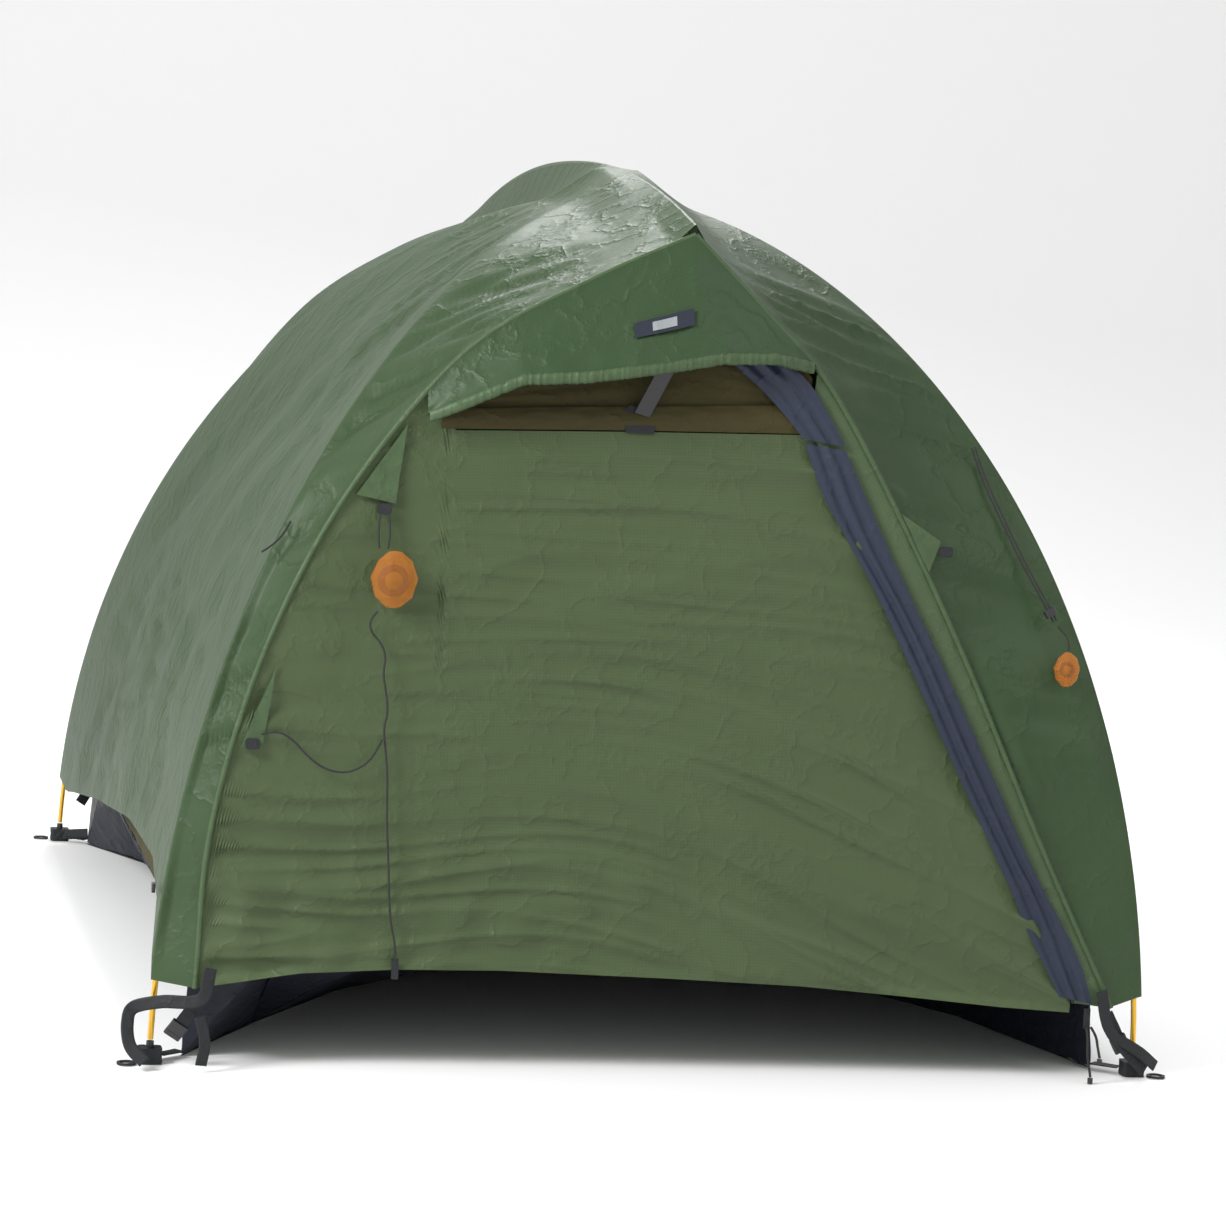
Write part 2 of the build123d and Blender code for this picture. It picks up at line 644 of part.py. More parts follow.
# ---------------------------------------------------------------- guylines
# Routes on the front are (x, z, distance in front of the front plane).
STRAND_A = [(-446, 802, 11), (-450, 778, 15), (-447, 755, 19)]
STRAND_B = [(-434, 802, 11), (-430, 778, 15), (-434, 755, 19)]
LOWER = [(-446, 665, 20), (-457, 652, 17), (-453, 634, 15), (-439, 621, 15), (-430, 601, 16), (-434, 576, 15),
         (-428, 549, 16), (-424, 521, 15), (-430, 497, 15), (-425, 465, 15), (-421, 428, 14), (-420, 388, 14),
         (-418, 344, 14), (-414, 300, 14), (-412, 258, 14), (-408, 220, 13), (-400, 190, 11), (-398, 170, 9)]
BRANCH = [(-604, 484, 12), (-582, 491, 14), (-558, 477, 14), (-536, 453, 14), (-508, 435, 14), (-478, 432, 14),
          (-452, 446, 15), (-438, 466, 16), (-432, 482, 20)]
PULL_LONG = [(644, 84, 12), (648, 68, 12), (647, 46, 12), (651, 26, 12), (654, 10, 12)]
PULL_SHORT = [(652, 84, 10), (661, 72, 10), (664, 54, 10), (668, 38, 10)]
for name, route in (("guyline_left_strand_a", STRAND_A), ("guyline_left_strand_b", STRAND_B),
                    ("guyline_left_lower", LOWER), ("guyline_left_branch", BRANCH),
                    ("pull_long", PULL_LONG), ("pull_short", PULL_SHORT)):
    cord(name, [(x, front_y(z, out), z) for x, z, out in route], 4.0 if "pull" in name else CORD_D)

RIGHT_GUY = [(458, -881, 929), (470, -893, 890), (486, -909, 852), (503, -924, 816), (521, -937, 778),
             (541, -948, 742), (561, -957, 708), (577, -964, 680)]
TWIN = 5.2              # spacing of the two strands of the right guyline
cord("guyline_right_a", RIGHT_GUY)
cord("guyline_right_b", [(x + TWIN * 0.9, y + TWIN * 0.1, z + TWIN * 0.45) for x, y, z in RIGHT_GUY])
cord("guyline_right_tail", [(583, -966, 674), (594, -969, 664), (600, -975, 652), (598, -980, 641)])
cord("panel_loop", [(-567, -931, 783), (-574, -936, 770), (-584, -940, 757), (-596, -942, 746), (-608, -942, 738)])

run = (Vector(*RIGHT_GUY[-1]) - Vector(*RIGHT_GUY[-2])).normalized()
across = Vector(TWIN * 0.9, TWIN * 0.1, TWIN * 0.45)
middle = Vector(*RIGHT_GUY[-2]) + across * 0.5 + run * 12
RUNNER_PLANE = Plane(origin=middle, x_dir=across, z_dir=run)
with BuildPart() as guyline_runner:
    with BuildSketch(RUNNER_PLANE):
        RectangleRounded(18, 11, 3)
        RectangleRounded(13, 7, 2, mode=Mode.SUBTRACT)
    extrude(amount=12)
save(guyline_runner, "guyline_runner")
print("runner axis", run, "at", middle)


def pouch(name, centre, half_x, half_y, half_z):
    """Faceted mesh pouch, hollow, and the coil of cord inside it."""
    levels = ((-1.0, 0.34), (-0.62, 0.80), (0.05, 1.0), (0.66, 0.72), (1.0, 0.24))
    with BuildPart() as bag:
        for inset, mode in ((0.0, Mode.ADD), (1.5, Mode.SUBTRACT)):
            rings = []
            for level, width in levels:
                with BuildSketch(Plane.XY.offset(centre[2] + level * (half_z - inset))) as ring:
                    with Locations((centre[0], centre[1])):
                        Ellipse(half_x * width - inset, half_y * width - inset)
                rings.append(ring.sketch)
            loft(rings, ruled=True, mode=mode)
    save(bag, name)


LEFT_POUCH = (-425, front_y(710, 24), 710)
RIGHT_POUCH = (596, -984, 612)
pouch("pouch_left", LEFT_POUCH, 35, 19, 41)
pouch("pouch_right", RIGHT_POUCH, 20, 15, 26)
with BuildPart() as pouch_coils:
    for centre, size in ((LEFT_POUCH, 18), (RIGHT_POUCH, 9)):
        with Locations(Location(centre, (90, 0, 0))):
            Torus(size, size * 0.28)
save(pouch_coils, "pouch_coils")

with BuildPart() as pull_toggles:
    for x, z, out in (PULL_LONG[-1], PULL_SHORT[-1]):
        with BuildSketch(Plane.XY.offset(z - 9.5)):
            with Locations((x, front_y(z, out))):
                Circle(4)
        extrude(amount=8)
save(pull_toggles, "pull_toggles")
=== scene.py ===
"""Dome tent on poles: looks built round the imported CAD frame. Metres, +Z up, front towards -Y."""
import math

import bmesh
import bpy
from mathutils import Matrix, Vector, noise


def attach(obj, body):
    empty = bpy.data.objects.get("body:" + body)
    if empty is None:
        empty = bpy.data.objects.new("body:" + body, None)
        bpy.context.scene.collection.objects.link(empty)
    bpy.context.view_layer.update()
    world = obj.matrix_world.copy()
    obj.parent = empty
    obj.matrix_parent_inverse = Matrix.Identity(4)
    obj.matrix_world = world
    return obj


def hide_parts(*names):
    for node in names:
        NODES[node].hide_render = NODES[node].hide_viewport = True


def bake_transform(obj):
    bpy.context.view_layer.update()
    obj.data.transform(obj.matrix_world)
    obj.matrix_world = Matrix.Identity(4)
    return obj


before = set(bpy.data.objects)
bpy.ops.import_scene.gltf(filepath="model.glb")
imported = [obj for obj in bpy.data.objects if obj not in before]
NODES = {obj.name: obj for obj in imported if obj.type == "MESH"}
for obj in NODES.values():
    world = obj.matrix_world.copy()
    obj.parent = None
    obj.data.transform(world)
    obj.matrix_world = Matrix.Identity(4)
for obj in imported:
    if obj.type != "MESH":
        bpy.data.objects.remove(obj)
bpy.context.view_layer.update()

# ------------------------------------------------------------ shape shared with the CAD part, in metres
FOOT_X, FOOT_Y = 0.740, 0.985  # pole feet, from the middle
CROSS_Y, CROSS_Z = -0.343, 1.263  # where the arch poles cross
POLE_SPREAD, POLE_RISE = 1.12, 1.02  # exponents of an arch pole's curve
RIDGE_TOP, BROW_Z, BROW_Y = 1.315, 1.224, 0.950
RIDGE_FALL = 2.2  # exponent of the ridge's fall towards each brow
FLY_GAP = 0.016  # fly outside the poles' centre lines, away from FLY_CENTRE
FLY_CENTRE = Vector((0, 0, 0.350))
THETA_LOW, THETA_SPAN = 6.0, 84.0  # degrees along a pole that the fly covers
LIFT_START, LIFT_SPAN = 0.88, 0.12  # share of that span where the ridge pole lifts it
SIDE_DRAW_IN, FRONT_RISE, REAR_SADDLE = 0.026, 0.010, 0.030  # cloth between its supports
FRONT_FOOT_Y = 1.037
LEAN = math.atan((FRONT_FOOT_Y - BROW_Y) / BROW_Z)
OUTWARD = Vector((0, -math.cos(LEAN), math.sin(LEAN)))
FOLD_X = -0.362
V_TOP = 0.965
ARCH_LEFT = [(-.684, .118), (-.670, .350), (-.604, .600), (-.494, .830), (-.330, 1.040),
             (-.150, 1.152), (0, BROW_Z)]
ARCH_RIGHT = [(.684, .112), (.566, .345), (.440, .610), (.322, .833), (.212, 1.012),
              (.116, 1.112), (0, BROW_Z)]
ARCH_REAR = [(-.684, .118), (-.664, .350), (-.590, .600), (-.478, .830), (-.322, 1.040),
             (-.150, 1.160), (0, BROW_Z)]
SIDE_HEM = [(-.985, .130), (-.930, .235), (-.750, .272), (-.300, .258), (.240, .205),
            (.667, .150), (.985, .100)]
ZIP_LINE = [(.186, .942), (.250, .835), (.312, .735), (.376, .610), (.440, .480), (.536, .302), (.588, .200),
            (.624, .118)]
HEM_LINE = [(-.684, .118), (-.534, .142), (-.392, .150), (-.243, .151), (0, .144), (.205, .136), (.358, .124),
            (.513, .110), (.684, .100)]
DOOR_TOP = [(FOLD_X, .926), (-.070, .936), (.166, .942)]
HOOD_HEM = [(-.388, .948), (-.335, .973), (-.254, 1.012), (-.164, 1.020), (-.052, 1.038), (.035, 1.055),
            (.119, 1.058), (.186, 1.046)]
FLAP_LEFT = [(.174, .930), (.208, .850), (.283, .730), (.350, .605), (.430, .450), (.510, .299), (.546, .225),
             (.600, .128)]
FLAP_RIGHT = [(.236, .922), (.312, .772), (.402, .606), (.480, .455), (.560, .300), (.600, .235),
              (.632, .175), (.652, .118)]
HOOD_PUSH, HOOD_SPAN = 0.062, 0.564
FLAP_TOP_LEFT = [(.060, 1.040), (.100, 1.010), (.140, .972), (.172, .936)]
FLAP_TOP_RIGHT = [(.150, 1.042), (.182, 1.012), (.210, .970), (.236, .928)]
MESH_LOW = [(FOLD_X, .956), (-.070, .973), (.184, .986)]
BAND_LOW = [(FOLD_X, .928), (-.070, .938), (.184, .944)]
BAND_TOP = [(FOLD_X, .957), (-.070, .973), (.184, .986)]
FRONT_LEFT_X, FRONT_RIGHT_X = -0.683, 0.6195


def lerp(a, b, t):
    return tuple(p + (q - p) * t for p, q in zip(a, b))


def smooth(t):
    """Ease from 0 to 1 as t goes from 0 to 1."""
    t = min(1.0, max(0.0, t))
    return t * t * (3 - 2 * t)


def along(points, t):
    """Point at share t of a smooth curve through the points."""
    spans = len(points) - 1
    i = min(int(t * spans), spans - 1)
    f = t * spans - i
    p1, p2 = points[i], points[i + 1]
    p0 = points[i - 1] if i else tuple(2 * a - b for a, b in zip(p1, p2))
    p3 = points[i + 2] if i + 2 <= spans else tuple(2 * b - a for a, b in zip(p1, p2))
    return tuple(0.5 * (2 * b + (c - a) * f + (2 * a - 5 * b + 4 * c - d) * f * f
                        + (3 * b - a - 3 * c + d) * f ** 3)
                 for a, b, c, d in zip(p0, p1, p2, p3))


def height_at(points, x):
    """Height at x of the line through (x, z) points."""
    if x <= points[0][0]:
        return points[0][1]
    for (x0, z0), (x1, z1) in zip(points, points[1:]):
        if x <= x1:
            return z0 + (z1 - z0) * (x - x0) / max(1e-9, x1 - x0)
    return points[-1][1]


def front_y(z, out=0.0):
    return -FRONT_FOOT_Y + (FRONT_FOOT_Y - BROW_Y) * z / BROW_Z - out


def on_front(x, z, out=0.0):
    """Point on the leaning front plane, moved out of it by out."""
    return Vector((x, front_y(z), z)) + OUTWARD * out


def pole_point(side, end, theta):
    t = math.cos(math.radians(theta)) ** POLE_SPREAD
    z = CROSS_Z * max(0.0, math.sin(math.radians(theta))) ** POLE_RISE
    return (side * t * FOOT_X, end * t * FOOT_Y + CROSS_Y * (1 - t * t), z)


def ridge_height(y):
    return RIDGE_TOP - (RIDGE_TOP - BROW_Z) * min(1.0, abs(y / BROW_Y)) ** RIDGE_FALL


def fly_point(side, arch, u, v):
    """Point on the fly: u is 0 to 3 from the front arch to the rear one, v 0 to 1 from low to ridge."""
    theta = THETA_LOW + THETA_SPAN * v
    lift = (RIDGE_TOP - CROSS_Z) * smooth((v - LIFT_START) / LIFT_SPAN)
    x, z = along(arch, v)
    posts = [(x, front_y(z), z)]
    for end in (-1, 1):
        p = Vector(pole_point(side, end, theta))
        p += (p - FLY_CENTRE).normalized() * FLY_GAP
        posts.append((p[0], p[1], p[2] + lift))
    x, z = along([(side * abs(a), b) for a, b in ARCH_REAR], v)
    posts.append((x, -front_y(z), z))
    i = min(int(u), 2)
    f = u - i
    p = lerp(posts[i], posts[i + 1], f)
    bow = 4 * f * (1 - f)
    if i == 1:
        return (p[0] - side * SIDE_DRAW_IN * bow * max(0.0, math.sin(math.pi * v)) ** 0.8, p[1], p[2])
    if i == 0:
        return (p[0], p[1], p[2] + FRONT_RISE * bow * smooth((v - 0.6) / 0.4))
    return (p[0], p[1],
            p[2] - REAR_SADDLE * bow * smooth((v - 0.45) / 0.35) * (1 - smooth((v - 0.93) / 0.07)))


def wave(x, y, z=0.0):
    return noise.noise(Vector((x, y, z)))


def crease(x, y, z=0.0):
    """Sharp-ridged noise, 0 to 1, for pinched folds."""
    return (1 - abs(wave(x, y, z))) ** 3


# ------------------------------------------------------------ materials
def material(name):
    m = bpy.data.materials.new(name)
    m.use_nodes = True
    tree = m.node_tree
    tree.nodes.clear()
    return m, tree


def node(tree, kind, **values):
    n = tree.nodes.new(kind)
    for key, value in values.items():
        setattr(n, key, value)
    return n


def noise_of(tree, vector, scale, detail=3.0):
    n = node(tree, "ShaderNodeTexNoise")
    n.inputs["Scale"].default_value = scale
    n.inputs["Detail"].default_value = detail
    tree.links.new(vector, n.inputs["Vector"])
    return n.outputs[0]


def mixed(tree, factor, one, two):
    n = node(tree, "ShaderNodeMix", data_type="RGBA")
    if isinstance(factor, float):
        n.inputs[0].default_value = factor
    else:
        tree.links.new(factor, n.inputs[0])
    for socket, value in ((n.inputs[6], one), (n.inputs[7], two)):
        if isinstance(value, tuple):
            socket.default_value = (*value, 1)
        else:
            tree.links.new(value, socket)
    return n.outputs[2]


def arithmetic(tree, operation, a, b=0.0):
    n = node(tree, "ShaderNodeMath", operation=operation)
    for socket, value in ((n.inputs[0], a), (n.inputs[1], b)):
        if isinstance(value, (int, float)):
            socket.default_value = value
        else:
            tree.links.new(value, socket)
    return n.outputs[0]


def grid_lines(tree, vector, cell, share):
    """1 on the threads of a square grid, 0 between them."""
    split = node(tree, "ShaderNodeSeparateXYZ")
    tree.links.new(vector, split.inputs[0])
    lines = []
    for k in (0, 1):
        turns = arithmetic(tree, "MULTIPLY", split.outputs[k], 1 / cell)
        lines.append(arithmetic(tree, "LESS_THAN", arithmetic(tree, "FRACT", turns), share))
    return arithmetic(tree, "MAXIMUM", *lines)


def cloth(name, light, dark, shine=0.45, glow=0.25, cell=0.005, share=0.16, patch=3.0, alpha=1.0):
    """Coated ripstop: thread grid, patchy tone, fine crinkle, and light coming through it."""
    m, tree = material(name)
    where = node(tree, "ShaderNodeTexCoord")
    uv, spot = where.outputs["UV"], where.outputs["Object"]
    threads = grid_lines(tree, uv, cell, share)
    tone = mixed(tree, noise_of(tree, spot, patch), dark, light)
    tone = mixed(tree, arithmetic(tree, "MULTIPLY", threads, 0.22), tone, tuple(c * 0.55 for c in dark))
    bsdf = node(tree, "ShaderNodeBsdfPrincipled")
    bsdf.inputs["Roughness"].default_value = shine
    bsdf.inputs["Specular IOR Level"].default_value = 0.32
    bsdf.inputs["Alpha"].default_value = alpha
    tree.links.new(tone, bsdf.inputs["Base Color"])
    bump = node(tree, "ShaderNodeBump")
    bump.inputs["Strength"].default_value = 0.36
    bump.inputs["Distance"].default_value = 0.004
    folds = noise_of(tree, spot, 13.0, 5.0)
    pinch = arithmetic(tree, "POWER", arithmetic(tree, "SUBTRACT", 1.0, arithmetic(
        tree, "ABSOLUTE", arithmetic(tree, "MULTIPLY", arithmetic(tree, "SUBTRACT", folds, 0.5), 5.0))), 5.0)
    height = arithmetic(tree, "ADD", arithmetic(tree, "MULTIPLY", noise_of(tree, spot, 120.0, 4.0), 0.25),
                        arithmetic(tree, "ADD", arithmetic(tree, "MULTIPLY", threads, 0.04), pinch))
    tree.links.new(height, bump.inputs["Height"])
    tree.links.new(bump.outputs[0], bsdf.inputs["Normal"])
    through = node(tree, "ShaderNodeBsdfTranslucent")
    tree.links.new(tone, through.inputs["Color"])
    tree.links.new(bump.outputs[0], through.inputs["Normal"])
    both = node(tree, "ShaderNodeMixShader")
    both.inputs[0].default_value = glow
    tree.links.new(bsdf.outputs[0], both.inputs[1])
    tree.links.new(through.outputs[0], both.inputs[2])
    out = node(tree, "ShaderNodeOutputMaterial")
    tree.links.new(both.outputs[0], out.inputs[0])
    return m


def hard(name, light, dark, rough=0.4, metal=0.0, scale=60.0, bump_size=0.15, stretch=(1, 1, 1)):
    """Moulded plastic, anodised metal or braided cord: patchy tone and a fine surface."""
    m, tree = material(name)
    where = node(tree, "ShaderNodeTexCoord")
    mapping = node(tree, "ShaderNodeMapping")
    mapping.inputs["Scale"].default_value = stretch
    tree.links.new(where.outputs["Object"], mapping.inputs[0])
    grain = noise_of(tree, mapping.outputs[0], scale, 4.0)
    bsdf = node(tree, "ShaderNodeBsdfPrincipled")
    bsdf.inputs["Metallic"].default_value = metal
    tree.links.new(mixed(tree, grain, dark, light), bsdf.inputs["Base Color"])
    tree.links.new(arithmetic(tree, "ADD", arithmetic(tree, "MULTIPLY", grain, 0.2), rough - 0.1),
                   bsdf.inputs["Roughness"])
    bump = node(tree, "ShaderNodeBump")
    bump.inputs["Strength"].default_value = bump_size
    bump.inputs["Distance"].default_value = 0.0006
    tree.links.new(noise_of(tree, mapping.outputs[0], scale * 8, 2.0), bump.inputs["Height"])
    tree.links.new(bump.outputs[0], bsdf.inputs["Normal"])
    out = node(tree, "ShaderNodeOutputMaterial")
    tree.links.new(bsdf.outputs[0], out.inputs[0])
    return m


FLY = cloth("fly_green", (.062, .108, .046), (.036, .072, .027), glow=0.30)
DOOR = cloth("door_green", (.112, .155, .072), (.078, .116, .049), glow=0.38, patch=2.2)
STRIP = cloth("strip_green", (.125, .185, .095), (.082, .128, .060), glow=0.38)
HOOD = cloth("hood_green", (.042, .082, .032), (.026, .056, .020), glow=0.15)
HEM = cloth("hem_green", (.085, .135, .062), (.050, .088, .038), cell=0.003, glow=0.2, patch=40.0)
NAVY = cloth("navy_flap", (.028, .036, .064), (.015, .020, .038), cell=0.0025, glow=0.05)
# bathtub: the storm flap's navy fabric darkened with painted shade from the fly hem above it
TUB_NAVY_AND_SHADE = cloth("tub_navy", (.022, .025, .042), (.011, .013, .021), cell=0.0025, glow=0.02, shine=0.5)
FLOOR = cloth("groundsheet", (.032, .033, .038), (.015, .015, .018), cell=0.003, glow=0.0, shine=0.55)
# vent mesh and band: the inner's ochre colour darkened with painted shade of the hood above them
MESH = cloth("mesh_brown", (.085, .072, .024), (.050, .042, .014), cell=0.0016, share=0.45, glow=0.3,
             shine=0.8)
INNER = cloth("inner_mesh", (.120, .105, .045), (.070, .060, .024), cell=0.0018, share=0.4, glow=0.35,
              shine=0.8)
WEB = cloth("webbing_black", (.022, .024, .027), (.010, .011, .012), cell=0.0022, share=0.4, glow=0.0,
            shine=0.65)
ORANGE = cloth("pouch_orange", (.950, .360, .060), (.720, .230, .030), cell=0.002, share=0.3,
               glow=0.20, alpha=0.28)
LABEL_DARK = cloth("label_dark", (.020, .026, .045), (.012, .015, .026), cell=0.002, glow=0.0)
LABEL_LIGHT = cloth("label_light", (.300, .320, .330), (.210, .225, .235), cell=0.0015, glow=0.0)
GOLD = hard("pole_gold", (.830, .500, .075), (.620, .350, .045), 0.32, 1.0, 40.0, stretch=(1, 1, 0.2))
SILVER = hard("ferrule", (.640, .640, .650), (.480, .480, .490), 0.35, 1.0)
PLASTIC = hard("black_plastic", (.026, .026, .029), (.014, .014, .016), 0.42)
CORD = hard("cord_black", (.022, .022, .022), (.007, .007, .007), 0.75, scale=500.0, bump_size=0.6)
COIL = hard("zip_coil", (.050, .060, .050), (.012, .014, .012), 0.5, scale=700.0, bump_size=0.8)
TAPE = cloth("zip_tape", (.090, .150, .080), (.055, .100, .050), cell=0.0018, share=0.4, glow=0.05, shine=0.7)


# ------------------------------------------------------------ building
def grid(name, rows, mat, body="root"):
    """One continuous quad sheet through a grid of points, with UVs in metres."""
    rows = [[Vector(p) for p in row] for row in rows]
    wide = len(rows[0])
    mesh = bpy.data.meshes.new(name)
    mesh.from_pydata([p for row in rows for p in row], [],
                     [(i * wide + j, i * wide + j + 1, (i + 1) * wide + j + 1, (i + 1) * wide + j)
                      for i in range(len(rows) - 1) for j in range(wide - 1)])
    middle_row, middle = rows[len(rows) // 2], wide // 2
    across, down = [0.0], [0.0]
    for a, b in zip(middle_row, middle_row[1:]):
        across.append(across[-1] + (b - a).length)
    for a, b in zip(rows, rows[1:]):
        down.append(down[-1] + (b[middle] - a[middle]).length)
    layer = mesh.uv_layers.new(name="UVMap")
    for loop in mesh.loops:
        layer.data[loop.index].uv = (across[loop.vertex_index % wide], down[loop.vertex_index // wide])
    mesh.polygons.foreach_set("use_smooth", [True] * len(mesh.polygons))
    mesh.materials.append(mat)
    obj = bpy.data.objects.new(name, mesh)
    bpy.context.scene.collection.objects.link(obj)
    if body:
        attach(obj, body)
    return obj


def pushed(rows, amount):
    """Grid moved along its own normals by amount(i, j, point)."""
    last_i, last_j = len(rows) - 1, len(rows[0]) - 1
    new = []
    for i, row in enumerate(rows):
        line = []
        for j, p in enumerate(row):
            a = Vector(rows[min(i + 1, last_i)][j]) - Vector(rows[max(i - 1, 0)][j])
            b = Vector(row[min(j + 1, last_j)]) - Vector(row[max(j - 1, 0)])
            n = a.cross(b)
            n = n.normalized() if n.length > 1e-9 else Vector((0, 0, 0))
            line.append(Vector(p) + n * amount(i, j, Vector(p)))
        new.append(line)
    return new


def crumpled(name, mat, cell, size, scale, body="root"):
    """Wrinkled cloth or webbing made from a CAD node's solid: split finely, then creased."""
    source = NODES[name].data.copy()
    work = bmesh.new()
    work.from_mesh(source)
    bmesh.ops.remove_doubles(work, verts=work.verts, dist=1e-5)
    for _ in range(9):
        long_edges = [e for e in work.edges if e.calc_length() > cell]
        if not long_edges or len(work.verts) > 60000:
            break
        bmesh.ops.subdivide_edges(work, edges=long_edges, cuts=1)
        bmesh.ops.triangulate(work, faces=[f for f in work.faces if len(f.verts) > 3])
    work.normal_update()
    for v in work.verts:
        p = v.co * scale
        v.co += v.normal * size * (0.6 * wave(p.x, p.y, p.z) + 0.5 * wave(p.x * 2.7, p.y * 2.7, p.z * 2.7))
        v.co.z = max(v.co.z, 0.0)
    work.to_mesh(source)
    work.free()
    source.materials.clear()
    source.materials.append(mat)
    layer = source.uv_layers[0] if source.uv_layers else source.uv_layers.new(name="UVMap")
    for loop in source.loops:
        co = source.vertices[loop.vertex_index].co
        layer.data[loop.index].uv = (co.x + co.y * 0.7, co.z + co.y * 0.7)
    obj = bpy.data.objects.new(name + "_cloth", source)
    bpy.context.scene.collection.objects.link(obj)
    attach(obj, body)
    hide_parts(name)
    return obj


def tube(name, points, radius, mat, body="root"):
    curve = bpy.data.curves.new(name, "CURVE")
    curve.dimensions = "3D"
    spline = curve.splines.new("NURBS")
    spline.points.add(len(points) - 1)
    for slot_point, p in zip(spline.points, points):
        slot_point.co = (*p, 1.0)
    spline.order_u = 3
    spline.use_endpoint_u = True
    curve.bevel_depth = radius
    curve.bevel_resolution = 3
    curve.resolution_u = 8
    curve.materials.append(mat)
    obj = bpy.data.objects.new(name, curve)
    bpy.context.scene.collection.objects.link(obj)
    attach(obj, body)
    return obj


# ------------------------------------------------------------ fly: one cloth from hem to hem over the ridge
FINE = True
NU, NV = (110, 120) if FINE else (50, 50)  # steps from front to back, and from hem to crown
NC = 10  # steps from each side up to the ridge line


def hem_v(y):
    return (math.degrees(math.asin(height_at(SIDE_HEM, y) / CROSS_Z)) - THETA_LOW) / THETA_SPAN


def fly_column(u):
    y = -FOOT_Y + 2 * FOOT_Y * min(1, max(0, u - 1))
    low = max(0.0, hem_v(y)) if 1 < u < 2 else 0.0
    left = [Vector(fly_point(-1, ARCH_LEFT, u, low + (V_TOP - low) * k / NV)) for k in range(NV + 1)]
    right = [Vector(fly_point(1, ARCH_RIGHT, u, low + (V_TOP - low) * k / NV)) for k in range(NV + 1)]
    y = (left[-1].y + right[-1].y) / 2
    top = Vector((0.0, y, ridge_height(y) + FLY_GAP))
    column = left + [left[-1].lerp(top, k / NC) for k in range(1, NC + 1)]
    column += [top.lerp(right[-1], k / NC) for k in range(1, NC)]
    column += right[::-1]
    return column


fly_rows = [fly_column(3 * i / NU) for i in range(NU + 1)]


def fly_wrinkle(i, j, p):
    u = 3 * i / NU
    near_pole = min(abs(u - 1), abs(u - 2))
    edge = min(j, len(fly_rows[0]) - 1 - j)
    free = (smooth(near_pole / 0.25) * smooth(min(i, NU - i) / 5) * smooth(edge / 5 + 0.25)
            * smooth((abs(p.x) - 0.05) / 0.14))
    drag = wave(p.y * 5 + p.z * 7, p.z * 2.2 - p.y * 2.2, p.x)
    fine = crease(p.y * 16 + p.z * 19, p.z * 4 - p.y * 4, p.x * 2)
    patch = smooth(abs(wave(p.y * 3, p.z * 3)) * 3)
    side = 1 if p.x < 0 else -1
    return free * (0.0105 * drag + 0.0110 * fine * patch) * side


fly = grid("fly_shell", pushed(fly_rows, fly_wrinkle), FLY)
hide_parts("fly_left_panel", "fly_right_panel", "fly_crown")

# ------------------------------------------------------------ front: one cloth from the left arch to the zip
TOP_STEPS = 40
LEFT_TOP = [along(ARCH_LEFT, k / TOP_STEPS) for k in range(TOP_STEPS + 1)]
RIGHT_TOP = [along(ARCH_RIGHT, 1 - k / TOP_STEPS) for k in range(TOP_STEPS + 1)]


def front_top(x):
    if x <= FOLD_X:
        return height_at(LEFT_TOP, x)
    if x <= ZIP_LINE[0][0]:
        drop = height_at(LEFT_TOP, FOLD_X) - DOOR_TOP[0][1]
        return height_at(DOOR_TOP, x) + drop * (1 - smooth((x - FOLD_X) / 0.02))
    return height_at(ZIP_LINE, x)


NX, NZ = (300, 230) if FINE else (110, 90)
front_rows = []
for i in range(NX + 1):
    x = FRONT_LEFT_X + (FRONT_RIGHT_X - FRONT_LEFT_X) * i / NX
    low, high = height_at(HEM_LINE, x), max(front_top(x), height_at(HEM_LINE, x) + 0.001)
    column = []
    for j in range(NZ + 1):
        z = low + (high - low) * j / NZ
        edge = smooth(min(high - z, x - ARCH_LEFT[0][0], 0.03) / 0.03) * smooth((z - low) / 0.02 + 0.2)
        slope = 0.42 * smooth((0.85 - z) / 0.6) * smooth((x + 0.5) / 0.7)
        s = z + slope * x
        ripple = crease(x * 2.4, s * 36, 1.5) * (0.25 + 0.75 * smooth(abs(wave(x * 2.5, z * 2.5, 7)) * 3))
        drag = crease(x * 1.1, s * 11, 3.1) * (0.35 + 0.65 * smooth((x + z * 0.3) / 0.5 + 0.3))
        crumple = wave(x * 17, z * 17, 2) * smooth((0.42 - z) / 0.25) * smooth((0.05 - x) / 0.35)
        belly = 0.014 * math.sin(math.pi * min(1.0, max(0.0, (x + 0.68) / 1.3))) * math.sin(math.pi * j / NZ)
        out = 0.003 + edge * (0.0075 * ripple + 0.0160 * drag + 0.0120 * crumple - 0.008) - 0.3 * belly * edge
        column.append(on_front(x, z, max(-0.006, out)))
    front_rows.append(column)
front = grid("front_sheet", front_rows, DOOR, body=None)
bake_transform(front)
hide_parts("front_left_panel", "door_panel")

# ------------------------------------------------------------ front strip right of the zip
ZIP_UP = [(x + 0.0025, z) for x, z in ZIP_LINE[::-1]] + [(0.190, 1.030)]
strip_rows = []
NS, STRIP_ACROSS = 200 if FINE else 90, 30
for i in range(NS + 1):
    t = i / NS
    a, b = along(ZIP_UP, t), along(ARCH_RIGHT, 0.70 * t)
    line = []
    for j in range(STRIP_ACROSS + 1):
        x, z = lerp(a, b, j / STRIP_ACROSS)
        pucker = 0.004 * crease(x * 12, z * 45, 4) * (0.3 + smooth((0.45 - z) / 0.3))
        line.append(on_front(x, z, 0.003 + pucker * math.sin(math.pi * j / STRIP_ACROSS)))
    strip_rows.append(line)
strip = grid("right_strip_sheet", strip_rows, STRIP)
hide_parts("front_right_strip")

